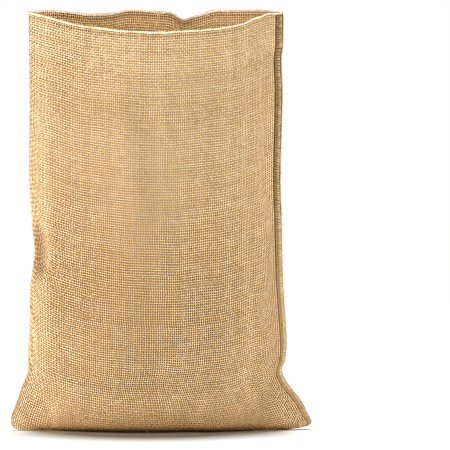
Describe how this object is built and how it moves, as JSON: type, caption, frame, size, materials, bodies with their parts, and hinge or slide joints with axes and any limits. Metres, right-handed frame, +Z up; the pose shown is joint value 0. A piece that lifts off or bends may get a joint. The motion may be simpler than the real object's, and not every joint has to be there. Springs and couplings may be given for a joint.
{
  "type": "burlap sack",
  "caption": "Standing open burlap sack with a flat narrow base, flattened ears at its corners, a sewn side strip and a soft sagging mouth.",
  "frame": {"origin": "bottom centre of the bounding box, on the surface the sack stands on", "axes": "+Z up along the sack's height, -Y towards the front panel, +X towards the sewn side strip"},
  "size_m": [0.4712, 0.1924, 0.6675],
  "materials": {
    "jute_cloth": "coarse plain weave, dry and matt"
  },
  "bodies": {
    "root": {"sack_cloth": "jute_cloth"}
  },
  "joints": []
}
